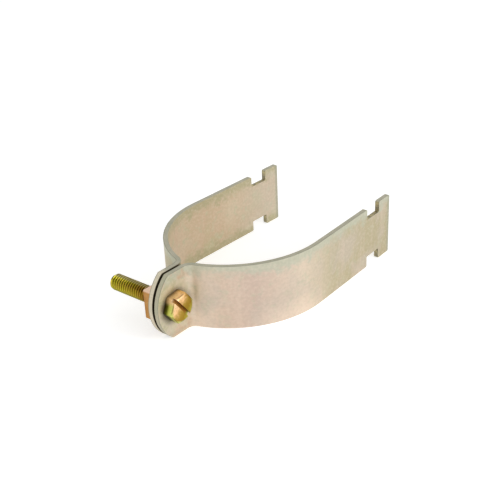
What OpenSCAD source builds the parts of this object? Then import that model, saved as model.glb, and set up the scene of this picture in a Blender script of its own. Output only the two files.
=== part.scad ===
// Two-piece strut pipe clamp: a mirrored pair of formed straps, closed by a slotted hex-head screw
// and a square nut. The pipe stands along Z. X runs from the ears to the hooks that slot into the
// channel, and Y runs along the screw, from its head to its tip. The origin is on the resting
// plane, below the axis of the pipe.

/* [Pipe] */
// Outside diameter of the pipe
pipe_d = 73; // [60:0.5:90]
// Play between the pipe and the widest part of the straps
pipe_play = 0.3; // [0.1:0.1:1]

/* [Strap] */
// Width of the strip that each half is formed from
strap_w = 31.75; // [28:0.25:38]
// Thickness of the strip
strap_t = 2.3; // [2:0.1:3]
// Inner radius of the curved stretch
curve_r = 48.2; // [46:0.1:56]
// Radius of the bend beside the ear, on its tight side
bend_r = 1.4; // [1:0.1:3]
// Inward lean of the straight leg, in degrees
leg_lean = 1.8; // [0:0.1:4]
// Length of the straight leg, hook included
leg_l = 64; // [50:0.5:80]
// Radius of the punched outer corners
corner_r = 0.8; // [0.3:0.1:1.5]

/* [Hook] */
// Length of the cross bar at the end of the leg
bar_l = 10.2; // [8:0.1:12]
// Length of the notch behind the cross bar
notch_l = 11.3; // [9:0.1:13]
// Width of the neck between the two notches
neck_w = 20.6; // [16:0.1:24]

/* [Ear] */
// Gap between the two ears
ear_gap = 1.4; // [0.6:0.1:2]
// Length of the ear, from its bend to its rounded end
ear_l = 19.5; // [18:0.1:24]
// Length of the ear's rounded end, from its corners to its tip
ear_round_l = 7.8; // [6:0.1:12]
// Distance from the bend to the axis of the screw
screw_in = 9.3; // [8.5:0.1:10]
// Play of the screw in the holes of the ears, on the diameter
hole_play = 0.8; // [0.6:0.1:1.5]
// Running play under the head and under the nut, each against its ear
seat_play = 0.02; // [0.01:0.01:0.1]

/* [Screw] */
// Thread diameter
screw_d = 7.94; // [6:0.01:8.5]
// Length under the head
screw_l = 38.1; // [30:0.1:50]
// Length of the chamfer at the tip
tip_l = 1; // [0.5:0.1:1.5]
// Width of the head across its flats
head_w = 12.7; // [12:0.1:13.5]
// Height of the head
head_h = 5.3; // [4.5:0.1:7]
// Width of the driver slot
slot_w = 1.8; // [1.2:0.1:2.4]
// Depth of the driver slot
slot_depth = 2.2; // [1:0.1:3]
// Diameter of the head's flat front face, inside its turned corners
head_face_d = 11.2; // [10:0.1:12.5]
// Turn of the head at rest, in degrees
head_turn = 53; // [0:1:60]
// Angle between the slot and a corner of the head, in degrees
slot_turn = 0; // [0:1:30]

/* [Nut] */
// Width of the square nut across its flats
nut_w = 14.3; // [13:0.1:16]
// Thickness of the nut
nut_t = 5.7; // [4:0.1:7]
// Diameter of the nut's flat outer face, inside its turned corners
nut_face_d = 17.6; // [15:0.1:19]
// Depth of the countersink at each end of the nut's thread
nut_sink = 0.5; // [0.2:0.1:1]
// Play between the nut and the thread, on the diameter
thread_play = 0.1; // [0.06:0.02:0.2]

/* [Hidden] */
$fn = 96;
// Reach of a cut past the face that it opens
cut = 5;
// Half of the clear width between the straps
half_clear = pipe_d / 2 + pipe_play;
// Radius of the ear's bend on the face towards the pipe
bend_out = bend_r + strap_t;
// The curve's centre lies past the middle of the clamp, so that the curve is wider than the pipe
curve_y = curve_r - half_clear;
// Angle through which the strap turns away from its ear
bend_a = acos((curve_y + ear_gap / 2 + bend_out) / (curve_r + bend_out));
// Bend's start, with the curve's centre at x = 0
bend_x = -(curve_r + bend_out) * sin(bend_a);
// Axis of the screw
screw_x = bend_x - screw_in;
// Middle of the width, above the resting plane
mid_z = strap_w / 2;
// Outer face of each ear, from the middle of the clamp
ear_face = ear_gap / 2 + strap_t;
// Holes of the ears
hole_d = screw_d + hole_play;
// Radius of the arc that rounds the ear's end
ear_round_r = (strap_w * strap_w / 4 + ear_round_l * ear_round_l) / (2 * ear_round_l);

// Edge view of the curve and the leg, with the curve's centre at the origin and the leg along +X
module curve_and_leg() {
    curve_out = curve_r + strap_t;
    difference() {
        union() {
            circle(curve_out, $fn = 192);
            translate([0, -curve_out]) square([leg_l, curve_out]);
        }
        circle(curve_r, $fn = 192);
        translate([0, -curve_r]) square([leg_l + cut, 2 * curve_out]);
    }
}

// Edge view of the ear and its bend, with the bend's centre at the origin and the ear along -X
module ear_and_bend() {
    difference() {
        union() {
            circle(bend_out);
            translate([-ear_l, 0]) square([ear_l, bend_out]);
        }
        circle(bend_r);
        translate([-ear_l - cut, -2 * bend_out]) square([ear_l + cut, 2 * bend_out + bend_r]);
    }
}

// Edge view of the front strap. The bend runs into the curve at a point where both centres are
// square to the strip, so each is drawn about that point and keeps only its own side of it.
module strap_profile() {
    reach = 4 * curve_r;
    translate([bend_x, -ear_gap / 2 - bend_out]) rotate(-bend_a) translate([0, bend_out]) {
        intersection() {
            translate([0, curve_r]) rotate(bend_a + leg_lean) curve_and_leg();
            translate([0, -reach]) square([reach, 2 * reach]);
        }
        intersection() {
            translate([0, -bend_out]) rotate(bend_a) ear_and_bend();
            translate([-reach, -reach]) square([reach, 2 * reach]);
        }
    }
}

// What is cut away to round a square corner at the origin, with the metal towards +X and +Y
module corner_cut() {
    difference() {
        translate([-cut, -cut]) square(cut + corner_r);
        translate([corner_r, corner_r]) circle(corner_r);
    }
}

// The ear's end is an arc that meets the edges of the strip in two blunt corners
module ear_round_cut() {
    end_x = bend_x - ear_l;
    translate([0, -ear_face - cut, mid_z]) rotate([-90, 0, 0])
        linear_extrude(2 * cut + strap_t) difference() {
            translate([end_x - cut, -strap_w / 2 - cut]) square([ear_round_l + cut, strap_w + 2 * cut]);
            translate([end_x + ear_round_r, 0]) circle(ear_round_r, $fn = 192);
        }
}

module screw_hole() {
    translate([screw_x, -ear_face - cut, mid_z]) rotate([-90, 0, 0])
        cylinder(d = hole_d, h = strap_t + 2 * cut);
}

// Notches and rounded corners of the hook, cut square through the leg
module hook_cut() {
    half_w = strap_w / 2;
    translate([0, curve_y, mid_z]) rotate(leg_lean) translate([leg_l, cut - curve_r, 0]) rotate([90, 0, 0])
        linear_extrude(2 * cut + strap_t) for (side = [0, 1]) mirror([0, side]) {
            translate([-bar_l - notch_l, neck_w / 2]) square([notch_l, half_w + cut - neck_w / 2]);
            translate([0, -half_w]) mirror([1, 0]) corner_cut();
            translate([-bar_l, -half_w]) corner_cut();
            translate([-bar_l - notch_l, -half_w]) mirror([1, 0]) corner_cut();
        }
}

module strap() {
    difference() {
        linear_extrude(strap_w) strap_profile();
        ear_round_cut();
        screw_hole();
        hook_cut();
    }
}

module front_strap() {
    color("#cdbfa6") strap();
}

module rear_strap() {
    color("#c4b089") mirror([0, 1, 0]) strap();
}

// What turning leaves of a hexagon or square: a flat face of edge_d, with a cone of 30 degrees behind it
module turned_blank(edge_d, h) {
    rotate_extrude() polygon([[0, 0], [edge_d / 2, 0], [edge_d / 2 + h / tan(30), h], [0, h]]);
}

// Slotted hexagon head, its corners turned off at the front
module screw_head() {
    difference() {
        intersection() {
            rotate(head_turn) cylinder(d = head_w / cos(30), h = head_h, $fn = 6);
            turned_blank(head_face_d, head_h);
        }
        rotate(head_turn + slot_turn) translate([-head_w, -slot_w / 2, -cut])
            cube([2 * head_w, slot_w, slot_depth + cut]);
    }
}

// Drawn from the head's seat along +Z, then laid along Y with its tip at the back
module clamp_screw() {
    thread_r = screw_d / 2;
    // The shank is rooted in the head, between its seat and the floor of the slot
    root = (slot_depth - head_h) / 2;
    color("#b09a3c") translate([screw_x, -ear_face - seat_play, mid_z]) rotate([-90, 0, 0]) {
        translate([0, 0, -head_h]) screw_head();
        rotate_extrude() polygon([
            [0, root],
            [thread_r, root],
            [thread_r, screw_l - tip_l],
            [thread_r - tip_l, screw_l],
            [0, screw_l]
        ]);
    }
}

// Bore of the nut, with a countersink of 45 degrees at each end
module nut_bore() {
    bore_r = (screw_d + thread_play) / 2;
    mouth_r = bore_r + nut_sink + cut;
    rotate_extrude() polygon([
        [0, -cut],
        [mouth_r, -cut],
        [bore_r, nut_sink],
        [bore_r, nut_t - nut_sink],
        [mouth_r, nut_t + cut],
        [0, nut_t + cut]
    ]);
}

// Square nut on the rear ear, its corners turned off on the outer face
module square_nut() {
    nut_back = ear_face + seat_play + nut_t;
    color("#b87a45") translate([screw_x, nut_back, mid_z]) rotate([90, 0, 0]) difference() {
        intersection() {
            translate([-nut_w / 2, -nut_w / 2, 0]) cube([nut_w, nut_w, nut_t]);
            turned_blank(nut_face_d, nut_t);
        }
        nut_bore();
    }
}

front_strap();
rear_strap();
clamp_screw();
square_nut();
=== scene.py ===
from math import acos, cos, pi, radians, sin, tan

import bmesh
import bpy
from mathutils import Matrix, Vector


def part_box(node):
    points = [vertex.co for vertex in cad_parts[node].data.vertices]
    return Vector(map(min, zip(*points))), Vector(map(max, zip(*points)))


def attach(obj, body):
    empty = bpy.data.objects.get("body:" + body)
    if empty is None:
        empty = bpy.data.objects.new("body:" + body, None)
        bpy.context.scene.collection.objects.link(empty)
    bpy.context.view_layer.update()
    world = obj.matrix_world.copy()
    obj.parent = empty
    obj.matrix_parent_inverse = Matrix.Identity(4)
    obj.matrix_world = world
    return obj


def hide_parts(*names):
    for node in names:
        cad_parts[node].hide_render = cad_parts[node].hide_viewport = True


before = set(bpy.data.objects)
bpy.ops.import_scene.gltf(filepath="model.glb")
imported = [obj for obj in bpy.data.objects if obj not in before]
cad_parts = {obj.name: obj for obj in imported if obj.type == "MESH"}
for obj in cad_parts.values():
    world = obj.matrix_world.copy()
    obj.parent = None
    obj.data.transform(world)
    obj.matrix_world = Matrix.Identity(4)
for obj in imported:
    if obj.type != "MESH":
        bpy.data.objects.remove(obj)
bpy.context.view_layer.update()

mm = 0.001
weldGap = 1e-7               # vertices closer than this, in metres, are one
planeGap = 1e-8              # vertices closer than this to a cutting plane lie on it
coplanar = radians(0.5)      # faces that meet flatter than this are made one
scene = bpy.context.scene
print("frame loaded:", sorted(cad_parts))


# camera, at the photograph's angle

cameraSet = {
    "target": Vector((1.4, 2.6, 15.9)) * mm,
    "azimuth": radians(-49.69),
    "elevation": radians(27.41),
    "roll": radians(-2.67),
    "distance": 452.7 * mm,
    "lens": 66.34,
    "sensor": 36,
    "near": 0.01,                 # metres
    "far": 50,
}


def makeCamera(c):
    data = bpy.data.cameras.new("camera")
    data.lens = c["lens"]
    data.sensor_width = c["sensor"]
    data.clip_start = c["near"]
    data.clip_end = c["far"]
    turn = Matrix.Rotation(c["azimuth"], 4, "Z") @ Matrix.Rotation(pi / 2 - c["elevation"], 4, "X")
    back = turn.to_3x3() @ Vector((0, 0, 1))
    cam = bpy.data.objects.new("camera", data)
    cam.matrix_world = (Matrix.Translation(c["target"] + back * c["distance"])
                        @ turn @ Matrix.Rotation(c["roll"], 4, "Z"))
    scene.collection.objects.link(cam)
    scene.camera = cam


makeCamera(cameraSet)
print("camera set")


# node helpers

def startMaterial(name):
    mat = bpy.data.materials.new(name)
    mat.use_nodes = True
    mat.node_tree.nodes.clear()
    return mat, mat.node_tree


def node(tree, kind, **values):
    n = tree.nodes.new(kind)
    for key, value in values.items():
        setattr(n, key, value)
    return n


def plug(tree, target, source):
    # a socket is linked, and anything else is set as the socket's own value
    if isinstance(source, bpy.types.NodeSocket):
        tree.links.new(source, target)
    else:
        target.default_value = source


def place(tree, where=(0, 0, 0), scale=(1, 1, 1), attribute=None):
    # pattern coordinates in millimetres, centred on where
    if attribute:
        source = node(tree, "ShaderNodeAttribute", attribute_name=attribute).outputs["Vector"]
    else:
        source = node(tree, "ShaderNodeTexCoord").outputs["Object"]
    mapping = node(tree, "ShaderNodeMapping", vector_type="TEXTURE")
    plug(tree, mapping.inputs["Vector"], source)
    mapping.inputs["Location"].default_value = Vector(where) * mm
    mapping.inputs["Scale"].default_value = [mm / s for s in scale]
    return mapping.outputs["Vector"]


def noise(tree, vector, scale, detail=2.0, rough=0.5, warp=0.0):
    n = node(tree, "ShaderNodeTexNoise")
    plug(tree, n.inputs["Vector"], vector)
    n.inputs["Scale"].default_value = scale
    n.inputs["Detail"].default_value = detail
    n.inputs["Roughness"].default_value = rough
    n.inputs["Distortion"].default_value = warp
    return n.outputs["Fac"]


def ramp(tree, factor, *stops):
    n = node(tree, "ShaderNodeValToRGB")
    plug(tree, n.inputs["Fac"], factor)
    while len(n.color_ramp.elements) < len(stops):
        n.color_ramp.elements.new(1)
    for element, (position, colour) in zip(n.color_ramp.elements, stops):
        element.position = position
        element.color = (*colour, 1)
    return n.outputs["Color"]


def grey(tree, factor, low, high, fromLow=0.0, fromHigh=1.0, smooth=False):
    n = node(tree, "ShaderNodeMapRange")
    n.interpolation_type = "SMOOTHSTEP" if smooth else "LINEAR"
    plug(tree, n.inputs["Value"], factor)
    n.inputs["From Min"].default_value = fromLow
    n.inputs["From Max"].default_value = fromHigh
    n.inputs["To Min"].default_value = low
    n.inputs["To Max"].default_value = high
    return n.outputs["Result"]


def blend(tree, factor, a, b):
    n = node(tree, "ShaderNodeMix", data_type="RGBA")
    plug(tree, n.inputs[0], factor)
    plug(tree, n.inputs[6], a if isinstance(a, bpy.types.NodeSocket) else (*a, 1))
    plug(tree, n.inputs[7], b if isinstance(b, bpy.types.NodeSocket) else (*b, 1))
    return n.outputs[2]


def maths(tree, operation, a, b=0.0):
    n = node(tree, "ShaderNodeMath", operation=operation)
    plug(tree, n.inputs[0], a)
    plug(tree, n.inputs[1], b)
    return n.outputs[0]


def times(tree, product, *factors):
    for factor in factors:
        product = maths(tree, "MULTIPLY", product, factor)
    return product


def axisOf(tree, vector, axis):
    n = node(tree, "ShaderNodeSeparateXYZ")
    plug(tree, n.inputs[0], vector)
    return n.outputs[axis]


def endMaterial(mat, tree, colour, metallic, roughness, height, bumpDepth):
    shader = node(tree, "ShaderNodeBsdfPrincipled")
    plug(tree, shader.inputs["Base Color"], colour)
    shader.inputs["Metallic"].default_value = metallic
    plug(tree, shader.inputs["Roughness"], roughness)
    bump = node(tree, "ShaderNodeBump")
    bump.inputs["Strength"].default_value = 1
    bump.inputs["Distance"].default_value = bumpDepth * mm
    plug(tree, bump.inputs["Height"], height)
    plug(tree, shader.inputs["Normal"], bump.outputs["Normal"])
    out = node(tree, "ShaderNodeOutputMaterial")
    plug(tree, out.inputs["Surface"], shader.outputs[0])
    return mat


# mesh helpers

def finishMesh(bm, name, sharpAngle, materials, flatArea=None):
    # smooth up to sharpAngle, but faces broader than flatArea are shaded flat
    bmesh.ops.remove_doubles(bm, verts=bm.verts, dist=weldGap)
    bmesh.ops.recalc_face_normals(bm, faces=bm.faces)
    mesh = bpy.data.meshes.new(name)
    bm.to_mesh(mesh)
    bm.free()
    for mat in materials:
        mesh.materials.append(mat)
    mesh.polygons.foreach_set("use_smooth", [True] * len(mesh.polygons))
    mesh.set_sharp_from_angle(angle=sharpAngle)
    if flatArea:
        for face in mesh.polygons:
            face.use_smooth = face.area < flatArea
    obj = bpy.data.objects.new(name, mesh)
    scene.collection.objects.link(obj)
    weighted = obj.modifiers.new("weighted", "WEIGHTED_NORMAL")
    weighted.keep_sharp = True
    return obj


def applyModifiers(piece):
    bpy.context.view_layer.update()
    done = piece.evaluated_get(bpy.context.evaluated_depsgraph_get())
    mesh = bpy.data.meshes.new_from_object(done)
    piece.modifiers.clear()
    piece.data = mesh


def sharpEdges(bm, angle):
    return [e for e in bm.edges if e.is_manifold and e.calc_face_angle(0) > angle]


def roundEdges(bm, edges, radius, segments):
    bmesh.ops.bevel(bm, geom=edges, offset=radius, offset_type="OFFSET", segments=segments,
                    profile=0.5, affect="EDGES", material=-1, clamp_overlap=True)


def roundCorners(bm, verts, radius, segments):
    bmesh.ops.bevel(bm, geom=verts, offset=radius, offset_type="OFFSET", segments=segments,
                    profile=0.5, affect="VERTICES", material=-1, clamp_overlap=True)


def cutFlat(bm, point, normal):
    # cuts everything past the plane away and closes the cut
    cut = bmesh.ops.bisect_plane(bm, geom=bm.verts[:] + bm.edges[:] + bm.faces[:], dist=planeGap,
                                 plane_co=point, plane_no=normal, clear_outer=True)
    edges = [g for g in cut["geom_cut"] if isinstance(g, bmesh.types.BMEdge)]
    bmesh.ops.holes_fill(bm, edges=edges, sides=0)


def cutFlats(bm, count, firstTurn, width):
    # the flats of a head or a nut, width apart, on its turned blank
    for i in range(count):
        turn = firstTurn + 2 * pi / count * i
        flat = Vector((cos(turn), sin(turn), 0))
        cutFlat(bm, flat * width / 2, flat)
    bmesh.ops.dissolve_limit(bm, angle_limit=coplanar, verts=bm.verts, edges=bm.edges)


def lathe(bm, points, steps):
    # turns a profile of (radius, height) points about Z
    verts = [bm.verts.new((r, 0, z)) for r, z in points]
    edges = [bm.edges.new(pair) for pair in zip(verts, verts[1:])]
    bmesh.ops.spin(bm, geom=verts + edges, cent=(0, 0, 0), axis=(0, 0, 1), dvec=(0, 0, 0),
                   angle=2 * pi, steps=steps, use_merge=True, use_duplicate=False)
    bmesh.ops.remove_doubles(bm, verts=bm.verts, dist=weldGap)
    bmesh.ops.recalc_face_normals(bm, faces=bm.faces)


# straps, punched flat and then formed, as the real ones are

strapLow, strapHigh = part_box("front_strap")
strap = {
    "width": strapHigh.z - strapLow.z,
    "thickness": 2.3 * mm,
    "earRound": 7.8 * mm,         # from the ear's corners to its tip
    "earGap": 1.4 * mm,
    "bendRadius": 4 * mm,         # on the tight side
    "curveRadius": 48.2 * mm,     # on the pipe's side
    "curveCentre": 11.4 * mm,     # past the middle of the clamp
    "lean": radians(1.8),
    "legLength": 64 * mm,
    "barLength": 10.2 * mm,
    "notchLength": 11.3 * mm,
    "neckWidth": 20.6 * mm,
    "cornerRadius": 0.8 * mm,
    "cornerSegments": 5,
    "innerRadius": 0.5 * mm,      # in the notches
    "innerSegments": 4,
    "earCorner": 0.35 * mm,
    "earSegments": 4,
    "holeRadius": 4.37 * mm,
    "holeSteps": 64,
    "screwFromTip": 10.2 * mm,    # from the ear's tip
    "rimRadius": 0.32 * mm,
    "rimSegments": 3,
    "rimAngle": radians(60),      # edges sharper than this are rims
    "sharpAngle": radians(32),
    "roundSteps": 128,            # of the whole circle of the ear's arc
    "bendSteps": 20,
    "curveSteps": 96,
}


def formLengths(s):
    # radii and angle of the forming, and where bend, curve and leg start, from the ear's tip
    half = s["thickness"] / 2
    bendMid = s["bendRadius"] + half
    curveMid = s["curveRadius"] + half
    bendOut = s["bendRadius"] + s["thickness"]
    drop = s["curveCentre"] + s["earGap"] / 2 + bendOut
    angle = acos(drop / (s["curveRadius"] + bendOut))
    bendStart = -(s["curveRadius"] + bendOut) * sin(angle) - strapLow.x
    curveStart = bendStart + bendMid * angle
    legStart = curveStart + curveMid * (angle + s["lean"])
    return bendMid, curveMid, angle, bendStart, curveStart, legStart


stripLength = (formLengths(strap)[5] + strap["legLength"]) / mm


def punchBlank(s):
    bendStart, legStart = formLengths(s)[3], formLengths(s)[5]
    half = s["width"] / 2
    bm = bmesh.new()
    # ear: an arc at its end, straight sides up to the bend, and a punched hole
    arcLength = s["earRound"]
    radius = (half * half + arcLength * arcLength) / (2 * arcLength)
    bmesh.ops.create_circle(bm, cap_ends=False, radius=radius, segments=s["roundSteps"],
                            matrix=Matrix.Translation((radius, 0, 0)))
    bmesh.ops.bisect_plane(bm, geom=bm.verts[:] + bm.edges[:], dist=planeGap,
                           plane_co=(arcLength, 0, 0), plane_no=(1, 0, 0), clear_outer=True)
    low = min(bm.verts, key=lambda v: v.co.y)
    high = max(bm.verts, key=lambda v: v.co.y)
    low.co = (arcLength, -half, 0)
    high.co = (arcLength, half, 0)
    cornerLow = bm.verts.new((bendStart, -half, 0))
    cornerHigh = bm.verts.new((bendStart, half, 0))
    for a, b in ((low, cornerLow), (cornerLow, cornerHigh), (cornerHigh, high)):
        bm.edges.new((a, b))
    bmesh.ops.contextual_create(bm, geom=bm.edges[:])
    roundCorners(bm, [low, high], s["earCorner"], s["earSegments"])
    bmesh.ops.delete(bm, geom=bm.faces[:], context="FACES_ONLY")
    outline = bm.edges[:]
    hole = bmesh.ops.create_circle(bm, cap_ends=False, radius=s["holeRadius"], segments=s["holeSteps"],
                                   matrix=Matrix.Translation((s["screwFromTip"], 0, 0)))
    holeEdges = list({e for v in hole["verts"] for e in v.link_edges})
    bmesh.ops.bridge_loops(bm, edges=outline + holeEdges)
    # the rest of the strip, with the hook's notches
    end = legStart + s["legLength"]
    notchEnd = end - s["barLength"]
    notchStart = notchEnd - s["notchLength"]
    neck = s["neckWidth"] / 2
    side = [(notchStart, half), (notchStart, neck), (notchEnd, neck), (notchEnd, half), (end, half)]
    upper = [bm.verts.new((u, v, 0)) for u, v in side]
    lower = [bm.verts.new((u, -v, 0)) for u, v in side]
    bm.faces.new([cornerLow, *lower, *reversed(upper), cornerHigh])
    outer = [v for group in (upper, lower) for v in (group[0], group[3], group[4])]
    roundCorners(bm, outer, s["cornerRadius"], s["cornerSegments"])
    inner = [v for v in bm.verts if abs(abs(v.co.y) - neck) < weldGap and v.co.x > notchStart - weldGap]
    roundCorners(bm, inner, s["innerRadius"], s["innerSegments"])
    # thickness, with the middle of the sheet at zero
    bmesh.ops.recalc_face_normals(bm, faces=bm.faces)
    bmesh.ops.translate(bm, verts=bm.verts, vec=(0, 0, -s["thickness"] / 2))
    top = bmesh.ops.extrude_face_region(bm, geom=bm.faces[:], use_keep_orig=True)
    lifted = [g for g in top["geom"] if isinstance(g, bmesh.types.BMVert)]
    bmesh.ops.translate(bm, verts=lifted, vec=(0, 0, s["thickness"]))
    bmesh.ops.recalc_face_normals(bm, faces=bm.faces)
    for face in bm.faces:
        upright = abs(face.normal.z) < 0.5
        face.material_index = 1 if upright else 0      # cut edges have a finish of their own
    roundEdges(bm, sharpEdges(bm, s["rimAngle"]), s["rimRadius"], s["rimSegments"])
    return bm


def formStrap(bm, s, mirrored):
    bendMid, curveMid, angle, bendStart, curveStart, legStart = formLengths(s)
    bendStep = (curveStart - bendStart) / s["bendSteps"]
    curveStep = (legStart - curveStart) / s["curveSteps"]
    stations = [bendStart + bendStep * i for i in range(s["bendSteps"] + 1)]
    stations += [curveStart + curveStep * i for i in range(1, s["curveSteps"] + 1)]
    for u in stations:
        bmesh.ops.bisect_plane(bm, geom=bm.verts[:] + bm.edges[:] + bm.faces[:], dist=weldGap,
                               plane_co=(u, 0, 0), plane_no=(1, 0, 0))
    # flatPlace keeps where each vertex was on the flat strip, for the plating's patterns
    flatPlace = bm.verts.layers.float_vector.new("flatPlace")
    earMid = -(s["earGap"] + s["thickness"]) / 2
    bendX = strapLow.x + bendStart
    bendCentre = Vector((bendX, earMid - bendMid))
    curveCentre = Vector((0, s["curveCentre"]))
    for v in bm.verts:
        u, across, out = v.co
        v[flatPlace] = (u, across, out)
        if u <= bendStart:
            x, y = strapLow.x + u, earMid + out
        elif u <= curveStart:
            a = (u - bendStart) / bendMid
            x, y = bendCentre + (bendMid + out) * Vector((sin(a), cos(a)))
        else:
            a = min(u - curveStart, legStart - curveStart) / curveMid - angle
            x, y = curveCentre + (curveMid - out) * Vector((sin(a), -cos(a)))
            x += max(u - legStart, 0) * cos(a)
            y += max(u - legStart, 0) * sin(a)
        v.co = (x, -y if mirrored else y, s["width"] / 2 + across)


def paintedCreviceShade(tree, tint, reach, dark, share, shut=0.3):
    # painted shade where surfaces nearly meet, full where no more than shut is open
    shade = node(tree, "ShaderNodeAmbientOcclusion", samples=16)
    shade.inputs["Distance"].default_value = reach * mm
    closed = grey(tree, shade.outputs["AO"], 1, 0, shut, 0.97)
    return blend(tree, times(tree, closed, share), tint, dark)


def offFloor(tree, across):
    # 0 at the lower edge of the strip, on which the clamp stands, and 1 from 4 mm above it
    return grey(tree, across, 0, 1, -15.4, -12)


# the straps' plating, with lengths in millimetres
strapFinish = {
    "toneLength": 150,
    # outer face from the ear's tip to the hook: (share of toneLength, colour), partly painted light: lighter
    # by the bend, darker towards the hook
    "outerTonesAndLight": {
        "front_strap": (
            (0.0, (0.66, 0.61, 0.44)), (0.10, (0.66, 0.58, 0.42)), (0.15, (0.84, 0.70, 0.57)),
            (0.24, (0.67, 0.52, 0.41)), (0.34, (0.63, 0.485, 0.40)), (0.50, (0.73, 0.61, 0.48)),
            (0.66, (0.53, 0.46, 0.30)), (0.95, (0.49, 0.42, 0.26))),
        "rear_strap": (
            (0.0, (0.52, 0.48, 0.31)), (0.12, (0.50, 0.45, 0.27)), (0.30, (0.52, 0.46, 0.29)),
            (0.50, (0.64, 0.55, 0.42)), (0.95, (0.52, 0.45, 0.29))),
    },
    "outerClouds": (0.60, 0.52, 0.44),
    "outerBands": (0.71, 0.57, 0.46),
    "outerPatches": (0.53, 0.54, 0.38),
    "outerEdge": (0.53, 0.55, 0.43),
    "litLowOnCurve": (0.86, 0.71, 0.58),
    # inner face: (noise, colour)
    "innerTones": ((0.34, (0.58, 0.50, 0.31)), (0.48, (0.65, 0.50, 0.34)), (0.66, (0.68, 0.56, 0.40))),
    "innerBands": (0.66, 0.48, 0.34),
    "innerPatches": (0.55, 0.55, 0.36),
    "innerHook": (0.58, 0.53, 0.44),
    "innerEdge": (0.47, 0.43, 0.25),
    # both faces
    "rolledEnd": (0.36, 0.37, 0.28),
    "salmon": (0.66, 0.43, 0.28),
    "greenGold": (0.52, 0.50, 0.29),
    "grain": (0.42, 0.38, 0.28),
    "paleSpecks": (0.76, 0.68, 0.55),
    "darkSpecks": (0.34, 0.30, 0.21),
    "paleMottle": (0.78, 0.70, 0.58),
    "darkMottle": (0.36, 0.36, 0.24),
    "shade": (0.045, 0.035, 0.012),
    "shadeReach": 3.6,
    "metallic": 0.65,
    "bumpDepth": 0.012,
    # cut edges: (noise, colour)
    # painted light on the ear's end
    "punchedTones": {
        "front_strap": ((0.35, (0.42, 0.41, 0.29)), (0.65, (0.49, 0.45, 0.32))),
        "rear_strap": ((0.35, (0.60, 0.55, 0.41)), (0.65, (0.70, 0.62, 0.47))),
    },
    "shearedTones": ((0.3, (0.34, 0.34, 0.25)), (0.55, (0.42, 0.40, 0.30)), (0.75, (0.50, 0.47, 0.37))),
    "tornTones": ((0.4, (0.16, 0.13, 0.06)), (0.5, (0.34, 0.27, 0.12)), (0.6, (0.56, 0.47, 0.20))),
    "edgeMarks": (0.30, 0.28, 0.20),
    "rimLine": (0.20, 0.20, 0.14),
    "rimPlace": 0.98,             # towards the outer face from the middle of the sheet
    "edgeShade": (0.02, 0.02, 0.012),
    "edgeReach": 1.5,
    "edgeMetallic": 0.6,
    "edgeBump": 0.02,
}


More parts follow.
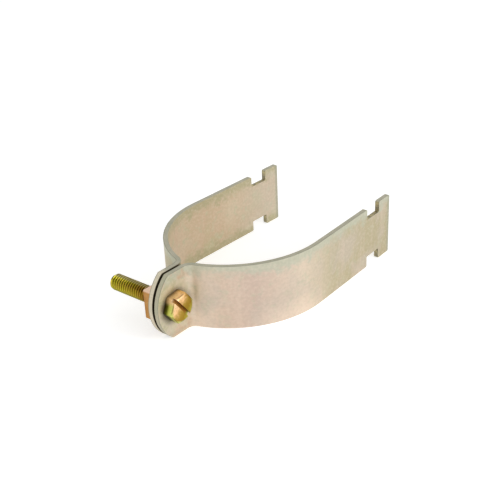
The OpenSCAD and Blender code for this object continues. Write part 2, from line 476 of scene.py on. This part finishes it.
def strapPlating(half, f):
    mat, tree = startMaterial(half + "_plating")
    spread = place(tree, attribute="flatPlace")
    along, across, out = (axisOf(tree, spread, axis) for axis in "XYZ")
    inside = grey(tree, out, 0, 1, -0.4, 0.4)      # 0 on the outer face, 1 on the pipe's side
    clouds = noise(tree, spread, 0.05, 3, 0.55, 0.5)
    patches = noise(tree, place(tree, (31, 8, 0), attribute="flatPlace"), 0.17, 3, 0.6, 0.7)
    # broad bands across the strip, as a thin film shows them
    bands = noise(tree, place(tree, scale=(1, 0.14, 1), attribute="flatPlace"), 0.13, 2, 0.5)
    # outer face: tones along the strip, partly painted light, with rose clouds and bands and with green
    # patches
    outer = ramp(tree, grey(tree, along, 0, 1, 0, f["toneLength"]), *f["outerTonesAndLight"][half])
    outer = blend(tree, grey(tree, clouds, 0, 0.6, 0.5, 0.66), outer, f["outerClouds"])
    outer = blend(tree, grey(tree, bands, 0, 0.5, 0.52, 0.7), outer, f["outerBands"])
    outer = blend(tree, grey(tree, patches, 0.45, 0, 0.3, 0.46), outer, f["outerPatches"])
    # inner face: tan with olive patches, and greyer towards the hook
    inner = ramp(tree, clouds, *f["innerTones"])
    inner = blend(tree, grey(tree, bands, 0, 0.5, 0.5, 0.72), inner, f["innerBands"])
    inner = blend(tree, grey(tree, patches, 0.6, 0, 0.32, 0.46), inner, f["innerPatches"])
    inner = blend(tree, grey(tree, along, 0, 0.45, 105, 140, smooth=True), inner, f["innerHook"])
    tint = blend(tree, inside, outer, inner)
    # greener film towards the strip's edges, on the outer face only towards the upper one
    edgeStart = grey(tree, out, 9.8, 9.5, -1, 1)
    lowEdge = times(tree, across, inside, -1)
    nearEdge = maths(tree, "SUBTRACT", maths(tree, "MAXIMUM", across, lowEdge), edgeStart)
    nearEdge = maths(tree, "ADD", nearEdge, grey(tree, patches, -4, 4, 0.25, 0.75))
    edgeFilm = blend(tree, inside, f["outerEdge"], f["innerEdge"])
    tint = blend(tree, grey(tree, nearEdge, 0, 0.8, 0, 4.5, smooth=True), tint, edgeFilm)
    # a grey-green line where the punch rolled the bar's end
    rolled = grey(tree, along, 0, 0.7, stripLength - 2.6, stripLength - 0.8, smooth=True)
    tint = blend(tree, rolled, tint, f["rolledEnd"])
    # blotches of salmon and of green-gold on the ear
    onEar = grey(tree, along, 1, 0, 15, 26, smooth=True)
    blotches = noise(tree, place(tree, (3, 2.5, 0), attribute="flatPlace"), 0.15, 2, 0.5, 0.6)
    salmon = times(tree, onEar, grey(tree, blotches, 0, 0.75, 0.5, 0.68))
    tint = blend(tree, salmon, tint, f["salmon"])
    greenGold = times(tree, onEar, grey(tree, blotches, 0.75, 0, 0.32, 0.47))
    tint = blend(tree, greenGold, tint, f["greenGold"])
    # fine rolled grain along the strip, and a salt of tiny specks
    grain = noise(tree, place(tree, scale=(0.12, 1, 1), attribute="flatPlace"), 1.6, 4, 0.65)
    specks = noise(tree, spread, 2.6, 3, 0.7)
    tint = blend(tree, grey(tree, grain, 0, 0.14, 0.3, 0.75), tint, f["grain"])
    tint = blend(tree, grey(tree, specks, 0, 0.35, 0.6, 0.78), tint, f["paleSpecks"])
    tint = blend(tree, grey(tree, specks, 0.22, 0, 0.24, 0.4), tint, f["darkSpecks"])
    # painted light: paler low on the curve's outer face
    low = times(tree, grey(tree, across, 1, 0, -14, -5), grey(tree, inside, 1, 0))
    onCurve = times(tree, grey(tree, along, 0, 1, 42, 64, smooth=True),
                    grey(tree, along, 0.5, 0, 74, 96, smooth=True))
    tint = blend(tree, times(tree, low, onCurve), tint, f["litLowOnCurve"])
    # mottled like frost
    mottle = noise(tree, place(tree, (5, 9, 0), attribute="flatPlace"), 0.7, 3, 0.6)
    tint = blend(tree, grey(tree, mottle, 0.16, 0, 0.3, 0.5), tint, f["darkMottle"])
    tint = blend(tree, grey(tree, mottle, 0, 0.25, 0.5, 0.7), tint, f["paleMottle"])
    # shade where the ear nearly meets its neighbours, which leaves the floor out
    shaded = times(tree, grey(tree, along, 0.97, 0, 18, 26, smooth=True), offFloor(tree, across))
    tint = paintedCreviceShade(tree, tint, f["shadeReach"], f["shade"], shaded, shut=0.42)
    roughness = grey(tree, clouds, 0.50, 0.60, 0.3, 0.7)
    height = maths(tree, "ADD", times(tree, grain, 0.6), times(tree, specks, 0.4))
    return endMaterial(mat, tree, tint, f["metallic"], roughness, height, f["bumpDepth"])


def cutEdgePlating(half, f):
    mat, tree = startMaterial(half + "_edge")
    spread = place(tree, attribute="flatPlace")
    along, across, out = (axisOf(tree, spread, axis) for axis in "XYZ")
    marks = noise(tree, place(tree, scale=(1, 1, 0.1), attribute="flatPlace"), 2.2, 3, 0.6)
    clouds = noise(tree, spread, 0.12, 2)
    # painted light: the ear's end is paler than the sheared sides of the strip, most on the rear strap
    punched = ramp(tree, clouds, *f["punchedTones"][half])
    sheared = ramp(tree, clouds, *f["shearedTones"])
    tint = blend(tree, grey(tree, along, 0, 1, 8, 13, smooth=True), punched, sheared)
    # the punch left gold and dark marks in the notches
    notchEnd = stripLength - strap["barLength"] / mm
    notchStart = notchEnd - strap["notchLength"] / mm
    inNotch = times(tree, grey(tree, along, 0, 1, notchStart - 1.5, notchStart),
                    grey(tree, along, 1, 0, notchEnd - 0.1, notchEnd + 0.4))
    tear = noise(tree, place(tree, (2, 0, 0), attribute="flatPlace"), 0.45, 3, 0.6)
    tint = blend(tree, times(tree, inNotch, 0.8), tint, ramp(tree, tear, *f["tornTones"]))
    tint = blend(tree, grey(tree, marks, 0, 0.4, 0.5, 0.8), tint, f["edgeMarks"])
    # a thin dark line where the edge meets the outer face
    fromRim = maths(tree, "ABSOLUTE", maths(tree, "ADD", out, f["rimPlace"]))
    tint = blend(tree, grey(tree, fromRim, 0.7, 0, 0.05, 0.28, smooth=True), tint, f["rimLine"])
    # painted shade where the edge nearly meets other surfaces, left off at the lower edge by the floor
    tint = paintedCreviceShade(tree, tint, f["edgeReach"], f["edgeShade"], offFloor(tree, across))
    roughness = grey(tree, marks, 0.45, 0.6)
    return endMaterial(mat, tree, tint, f["edgeMetallic"], roughness, marks, f["edgeBump"])


for half, mirrored in (("front_strap", False), ("rear_strap", True)):
    blank = punchBlank(strap)
    formStrap(blank, strap, mirrored)
    finishes = (strapPlating(half, strapFinish), cutEdgePlating(half, strapFinish))
    piece = finishMesh(blank, "formed_" + half, strap["sharpAngle"], finishes)
    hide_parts(half)
    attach(piece, half)
    print(piece.name, "formed")


# slotted hexagon-head screw with its real thread

screwLow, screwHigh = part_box("clamp_screw")
screw = {
    "axis": Vector(((screwLow.x + screwHigh.x) / 2, 0, (screwLow.z + screwHigh.z) / 2)),
    "headFront": screwLow.y,
    "tip": screwHigh.y,
    "headWidth": 12.7 * mm,       # across the flats
    "headHeight": 5.3 * mm,
    "faceRadius": 5.6 * mm,       # flat front face, inside the turned corners
    "cornerAngle": radians(30),   # of the turned corners, from the flat face
    "latheSteps": 144,
    "headTurn": radians(53),
    "slotWidth": 1.8 * mm,
    "slotDepth": 2.2 * mm,
    "roundFrom": radians(20),     # edges sharper than this are rounded
    "edgeRadius": 0.16 * mm,
    "edgeSegments": 2,
    "shankRoot": 0.5 * mm,        # reach of the shank into the head
    "threadRadius": 3.97 * mm,
    "rootRadius": 3.12 * mm,
    "pitch": 25.4 / 18 * mm,
    "crest": 0.16,                # share of the pitch
    "flankAngle": radians(30),
    "spareTurns": 2,              # past each end of the shank, where they are cut off
    "turnSteps": 48,
    "threadWeld": 1e-6,           # metres
    "tipChamfer": 1 * mm,
    "sharpAngle": radians(35),
    "flatArea": 3 * mm * mm,
}


def layAlongY(bm, axis, seat):
    # from the Z axis, with its foot at zero, to the screw's axis, with its foot at seat
    turn = Matrix.Translation((axis.x, seat, axis.z)) @ Matrix.Rotation(-pi / 2, 4, "X")
    bmesh.ops.transform(bm, matrix=turn, verts=bm.verts)


def makeHead(s):
    bm = bmesh.new()
    h = s["headHeight"]
    outer = s["faceRadius"] + h / tan(s["cornerAngle"])
    lathe(bm, [(0, 0), (s["faceRadius"], 0), (outer, h), (0, h)], s["latheSteps"])
    cutFlats(bm, 6, s["headTurn"] + pi / 6, s["headWidth"])
    return bm


def cutSlot(piece, s):
    bm = bmesh.new()
    size = (2 * s["headWidth"], s["slotWidth"], 2 * s["slotDepth"])
    bmesh.ops.create_cube(bm, size=1, matrix=Matrix.Diagonal((*size, 1)))
    bmesh.ops.rotate(bm, verts=bm.verts, cent=(0, 0, 0), matrix=Matrix.Rotation(s["headTurn"], 3, "Z"))
    layAlongY(bm, s["axis"], s["headFront"])
    mesh = bpy.data.meshes.new("slotCutter")
    bm.to_mesh(mesh)
    bm.free()
    cutter = bpy.data.objects.new("slotCutter", mesh)
    scene.collection.objects.link(cutter)
    cut = piece.modifiers.new("slot", "BOOLEAN")
    cut.operation = "DIFFERENCE"
    cut.solver = "EXACT"
    cut.object = cutter
    applyModifiers(piece)
    bpy.data.objects.remove(cutter)


def makeThread(s, length):
    # one pitch of the thread's profile, spun up the shank and cut to length
    bm = bmesh.new()
    p = s["pitch"]
    crest = s["crest"] * p / 2
    root = p / 2 - crest - (s["threadRadius"] - s["rootRadius"]) * tan(s["flankAngle"])
    profile = [(s["rootRadius"], 0), (s["rootRadius"], root), (s["threadRadius"], p / 2 - crest),
               (s["threadRadius"], p / 2 + crest), (s["rootRadius"], p - root), (s["rootRadius"], p)]
    verts = [bm.verts.new((r, 0, z - s["spareTurns"] * p)) for r, z in profile]
    edges = [bm.edges.new(pair) for pair in zip(verts, verts[1:])]
    turns = int(length / p) + 2 * s["spareTurns"]
    steps = turns * s["turnSteps"]
    bmesh.ops.spin(bm, geom=verts + edges, cent=(0, 0, 0), axis=(0, 0, 1), dvec=(0, 0, p / s["turnSteps"]),
                   angle=2 * pi * turns, steps=steps, use_merge=False, use_duplicate=False)
    bmesh.ops.remove_doubles(bm, verts=bm.verts, dist=s["threadWeld"])
    cutFlat(bm, (0, 0, 0), (0, 0, -1))
    cutFlat(bm, (0, 0, length), (0, 0, 1))
    for v in bm.verts:
        # the tip's chamfer, turned after the thread
        radius = v.co.xy.length
        allowed = s["threadRadius"] - s["tipChamfer"] + length - v.co.z
        if radius > allowed:
            v.co.xy *= allowed / radius
    return bm


# the screw's plating: (share of the way, colour)
screwFinish = {
    # across the head, from the upper left to the lower right
    "headTones": ((0.1, (0.92, 0.63, 0.35)), (0.28, (0.88, 0.55, 0.25)), (0.40, (0.55, 0.35, 0.10)),
                  (0.50, (0.41, 0.26, 0.035)), (0.66, (0.32, 0.195, 0.013)), (0.97, (0.46, 0.44, 0.06))),
    # along the head's lower sides, from its face to its seat, green-gold with painted shade to near black at
    # the seat
    "sideFilmAndShade": ((0.0, (0.66, 0.68, 0.20)), (0.45, (0.52, 0.56, 0.10)), (0.66, (0.12, 0.15, 0.01)),
                  (1.0, (0.05, 0.06, 0.01))),
    # along the shank, from the gap between the ears to the tip
    "shankTones": ((0.2, (0.62, 0.32, 0.09)), (0.38, (0.58, 0.38, 0.05)), (0.55, (0.58, 0.49, 0.03)),
                   (0.97, (0.62, 0.57, 0.04))),
    "pits": (0.26, 0.16, 0.02),
    "flatsEdgeShade": (0.14, 0.08, 0.01),
    "slotWalls": (0.36, 0.15, 0.02),
    "shankClouds": (0.64, 0.38, 0.08),
    "shadingAboveBand": (0.54, 0.49, 0.24),
    "shadeBelowBand": (0.20, 0.21, 0.02),
    "shadeBand": (0.20, 0.07, 0.012),
    "rootShade": (0.02, 0.016, 0.002),
    "shade": (0.06, 0.04, 0.003),
    "shadeReach": 2.5,
    "shadeShare": 0.85,
    "metallic": 0.95,
    "bumpDepth": 0.012,
}


def screwPlating(f):
    # all in millimetres: along is -8.3 at the head's face, -3 at its seat and 35 at the tip
    mat, tree = startMaterial("screw_plating")
    where = place(tree, screw["axis"] / mm)
    right, along, up = (axisOf(tree, where, axis) for axis in "XYZ")
    across = node(tree, "ShaderNodeCombineXYZ")
    plug(tree, across.inputs["X"], right)
    plug(tree, across.inputs["Z"], up)
    length = node(tree, "ShaderNodeVectorMath", operation="LENGTH")
    plug(tree, length.inputs[0], across.outputs[0])
    fromAxis = length.outputs["Value"]
    behindFace = grey(tree, along, 0, 1, -8.2, -7.8, smooth=True)
    behindHead = grey(tree, along, 0, 1, -3.05, -2.95)
    clouds = noise(tree, place(tree, screw["axis"] / mm + Vector((2, 0, 5))), 0.3, 3, 0.6, 0.5)
    # the head runs from copper at the upper left to gold, with a green rim at the lower right
    slant = maths(tree, "SUBTRACT", right, up)
    slant = maths(tree, "ADD", slant, grey(tree, clouds, -2.5, 2.5, 0.25, 0.75))
    head = ramp(tree, grey(tree, slant, 0, 1, -10, 10), *f["headTones"])
    # its lower sides are green-gold, with painted shade darkening them towards the ear
    filmAndShade = ramp(tree, grey(tree, along, 0, 1, -8, -3), *f["sideFilmAndShade"])
    low = grey(tree, up, 1, 0, 2.5, 5, smooth=True)
    onSide = grey(tree, fromAxis, 0, 1, 5.4, 5.9)
    head = blend(tree, times(tree, onSide, behindFace, low), head, filmAndShade)
    pits = noise(tree, where, 1.1, 3, 0.7)
    head = blend(tree, grey(tree, pits, 0, 0.45, 0.5, 0.72), head, f["pits"])
    # painted shade: a dark line round the front edge of the flats, which also dims the highlight there;
    # toFlat is the reach from the axis towards them
    toFlat = 0
    for i in range(3):
        turn = screw["headTurn"] + pi / 6 + pi / 3 * i
        reach = maths(tree, "ADD", times(tree, right, cos(turn)), times(tree, up, -sin(turn)))
        toFlat = maths(tree, "MAXIMUM", maths(tree, "ABSOLUTE", reach), toFlat)
    front = grey(tree, along, 0.75, 0, -7.9, -7.4)
    head = blend(tree, times(tree, front, grey(tree, toFlat, 0, 1, 5.85, 6.25)), head, f["flatsEdgeShade"])
    # the shank goes from copper brown to olive
    shank = ramp(tree, grey(tree, along, 0, 1, 0, 35), *f["shankTones"])
    shank = blend(tree, grey(tree, clouds, 0, 0.5, 0.5, 0.65), shank, f["shankClouds"])
    # painted shading across it: a dark band along it, red-brown by the nut, with grey-olive above and dark
    # olive below
    level = maths(tree, "ADD", times(tree, right, 0.56), times(tree, up, 0.83))
    shank = blend(tree, grey(tree, level, 0, 0.8, 2.2, 3.0, smooth=True), shank, f["shadingAboveBand"])
    shank = blend(tree, grey(tree, level, 0.6, 0, -3.7, -2.4, smooth=True), shank, f["shadeBelowBand"])
    shadeBand = times(tree, grey(tree, level, 0, 1, -0.4, 0.8, smooth=True),
                 grey(tree, level, 1, 0, 2.0, 2.9, smooth=True))
    byNut = grey(tree, along, 0.8, 0.1, 10, 24)
    shank = blend(tree, times(tree, shadeBand, byNut), shank, f["shadeBand"])
    # painted shade in the thread's roots, darkest in that band, and the tip has none
    tip = screw["tip"] / mm
    inRootShade = times(tree, grey(tree, fromAxis, 0.85, 0, 3.15, 3.8, smooth=True),
                  grey(tree, shadeBand, 0.15, 1.1), grey(tree, along, 1, 0, tip - 0.3, tip - 0.1))
    shank = blend(tree, inRootShade, shank, f["rootShade"])
    tint = blend(tree, behindHead, head, shank)
    # painted shade where surfaces nearly meet on and around the screw
    tint = paintedCreviceShade(tree, tint, f["shadeReach"], f["shade"], f["shadeShare"])
    # the slot's walls stay brown
    inSlot = times(tree, grey(tree, fromAxis, 0.7, 0, 5.6, 6.1), behindFace, grey(tree, behindHead, 1, 0))
    tint = blend(tree, inSlot, tint, f["slotWalls"])
    # the head's turned corners are rougher
    turned = times(tree, grey(tree, toFlat, 0, 0.25, 5.3, 5.7), grey(tree, along, 1, 0, -7.4, -7.0))
    roughness = maths(tree, "ADD", grey(tree, clouds, 0.28, 0.38, 0.3, 0.7), turned)
    grain = noise(tree, where, 4.0, 3, 0.6)
    return endMaterial(mat, tree, tint, f["metallic"], roughness, grain, f["bumpDepth"])


screwMaterial = screwPlating(screwFinish)
head = makeHead(screw)
layAlongY(head, screw["axis"], screw["headFront"])
headPiece = finishMesh(head, "screw_head", screw["roundFrom"], [screwMaterial])
headPiece.modifiers.clear()
cutSlot(headPiece, screw)
head = bmesh.new()
head.from_mesh(headPiece.data)
bmesh.ops.dissolve_limit(head, angle_limit=coplanar, verts=head.verts, edges=head.edges)
roundEdges(head, sharpEdges(head, screw["roundFrom"]), screw["edgeRadius"], screw["edgeSegments"])
bpy.data.objects.remove(headPiece)
shankFoot = screw["headFront"] + screw["headHeight"] - screw["shankRoot"]
shank = makeThread(screw, screw["tip"] - shankFoot)
layAlongY(shank, screw["axis"], shankFoot)
shankMesh = bpy.data.meshes.new("shank")
shank.to_mesh(shankMesh)
shank.free()
head.from_mesh(shankMesh)
piece = finishMesh(head, "slotted_screw", screw["sharpAngle"], [screwMaterial], flatArea=screw["flatArea"])
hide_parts("clamp_screw")
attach(piece, "clamp_screw")
print("screw threaded:", len(piece.data.polygons), "faces")


# square nut

nutLow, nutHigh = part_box("square_nut")
nut = {
    "width": nutHigh.x - nutLow.x,
    "thickness": nutHigh.y - nutLow.y,
    "faceRadius": 9.7 * mm,       # flat outer face, inside the turned corners
    "cornerAngle": radians(30),   # of the turned corners, from the flat face
    "latheSteps": 128,
    "boreRadius": 4.02 * mm,
    "sink": 0.5 * mm,
    "roundFrom": radians(25),     # edges sharper than this are rounded
    "edgeRadius": 0.2 * mm,
    "edgeSegments": 2,
    "sharpAngle": radians(35),
    "flatArea": 3 * mm * mm,
}


def makeNut(n):
    bm = bmesh.new()
    h = n["thickness"]
    bore, sink, face = n["boreRadius"], n["sink"], n["faceRadius"]
    mouth = bore + sink
    outer = face + h / tan(n["cornerAngle"])
    lathe(bm, [(bore, sink), (mouth, 0), (outer, 0), (face, h), (mouth, h), (bore, h - sink), (bore, sink)],
          n["latheSteps"])
    cutFlats(bm, 4, 0, n["width"])
    roundEdges(bm, sharpEdges(bm, n["roundFrom"]), n["edgeRadius"], n["edgeSegments"])
    return bm


# the nut's plating, with lengths in millimetres
nutFinish = {
    # (noise, colour)
    "tones": ((0.3, (0.38, 0.18, 0.035)), (0.5, (0.48, 0.23, 0.055)), (0.72, (0.52, 0.29, 0.09))),
    "grain": (0.30, 0.17, 0.07),
    # painted light on the nut's top
    "top": (0.84, 0.62, 0.47),
    "shade": (0.08, 0.05, 0.015),
    "shadeReach": 1.6,
    "shadeShare": 0.85,
    "metallic": 0.75,
    "bumpDepth": 0.012,
}


def nutPlating(f):
    mat, tree = startMaterial("nut_plating")
    where = place(tree, (screw["axis"].x / mm, nutLow.y / mm, screw["axis"].z / mm))
    clouds = noise(tree, where, 0.25, 3, 0.6, 0.4)
    tint = ramp(tree, clouds, *f["tones"])
    grain = noise(tree, where, 3.0, 3, 0.65)
    tint = blend(tree, grey(tree, grain, 0, 0.25, 0.4, 0.8), tint, f["grain"])
    # painted light: paler on its top, 7.15 mm above the axis
    litTop = grey(tree, axisOf(tree, where, "Z"), 0, 0.85, 6, 7.3, smooth=True)
    tint = blend(tree, litTop, tint, f["top"])
    # painted shade where surfaces nearly meet on and around the nut
    tint = paintedCreviceShade(tree, tint, f["shadeReach"], f["shade"], f["shadeShare"])
    roughness = grey(tree, clouds, 0.40, 0.50, 0.3, 0.7)
    return endMaterial(mat, tree, tint, f["metallic"], roughness, grain, f["bumpDepth"])


body = makeNut(nut)
layAlongY(body, screw["axis"], nutLow.y)
piece = finishMesh(body, "threaded_nut", nut["sharpAngle"], [nutPlating(nutFinish)], flatArea=nut["flatArea"])
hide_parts("square_nut")
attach(piece, "square_nut")
print("nut made")


# studio

studio = {
    "floorSize": 3.0,
    "floorDiffuse": (0.8, 0.8, 0.8),
    "floorGlow": 0.5,
    "worldLight": 0.62,
    "key": {"place": (0.25, -0.92, 0.42), "size": 0.4, "watts": 3.0},
    "fill": {"place": (-0.85, -0.35, 0.5), "size": 0.8, "watts": 2.2},
}


def seenAsWhite(tree):
    # 1 for camera, glossy and transmission rays, and 0 for the rest
    path = node(tree, "ShaderNodeLightPath")
    seen = maths(tree, "MAXIMUM", path.outputs["Is Camera Ray"], path.outputs["Is Glossy Ray"])
    return maths(tree, "MAXIMUM", seen, path.outputs["Is Transmission Ray"])


def makeWorld(s):
    world = bpy.data.worlds.new("studio")
    world.use_nodes = True
    tree = world.node_tree
    tree.nodes.clear()
    background = node(tree, "ShaderNodeBackground")
    plug(tree, background.inputs["Color"], (1, 1, 1, 1))
    plug(tree, background.inputs["Strength"], grey(tree, seenAsWhite(tree), s["worldLight"], 1))
    out = node(tree, "ShaderNodeOutputWorld")
    plug(tree, out.inputs["Surface"], background.outputs[0])
    scene.world = world


def makeFloor(s):
    bm = bmesh.new()
    bmesh.ops.create_grid(bm, x_segments=1, y_segments=1, size=s["floorSize"])
    mesh = bpy.data.meshes.new("floor")
    bm.to_mesh(mesh)
    bm.free()
    mat, tree = startMaterial("paleFloor")
    diffuse = node(tree, "ShaderNodeBsdfDiffuse")
    diffuse.inputs["Color"].default_value = (*s["floorDiffuse"], 1)
    glow = node(tree, "ShaderNodeEmission")
    plug(tree, glow.inputs["Strength"], grey(tree, seenAsWhite(tree), 0, s["floorGlow"]))
    both = node(tree, "ShaderNodeAddShader")
    plug(tree, both.inputs[0], diffuse.outputs[0])
    plug(tree, both.inputs[1], glow.outputs[0])
    out = node(tree, "ShaderNodeOutputMaterial")
    plug(tree, out.inputs["Surface"], both.outputs[0])
    mesh.materials.append(mat)
    floor = bpy.data.objects.new("floor", mesh)
    scene.collection.objects.link(floor)


def makeLamp(name, lamp):
    data = bpy.data.lights.new(name, "AREA")
    data.shape = "DISK"
    data.size = lamp["size"]
    data.energy = lamp["watts"]
    obj = bpy.data.objects.new(name, data)
    obj.location = lamp["place"]
    obj.rotation_euler = (cameraSet["target"] - obj.location).to_track_quat("-Z", "Y").to_euler()
    scene.collection.objects.link(obj)


makeWorld(studio)
makeFloor(studio)
makeLamp("keyLamp", studio["key"])
makeLamp("fillLamp", studio["fill"])
scene.view_settings.view_transform = "Standard"
print("studio lit")
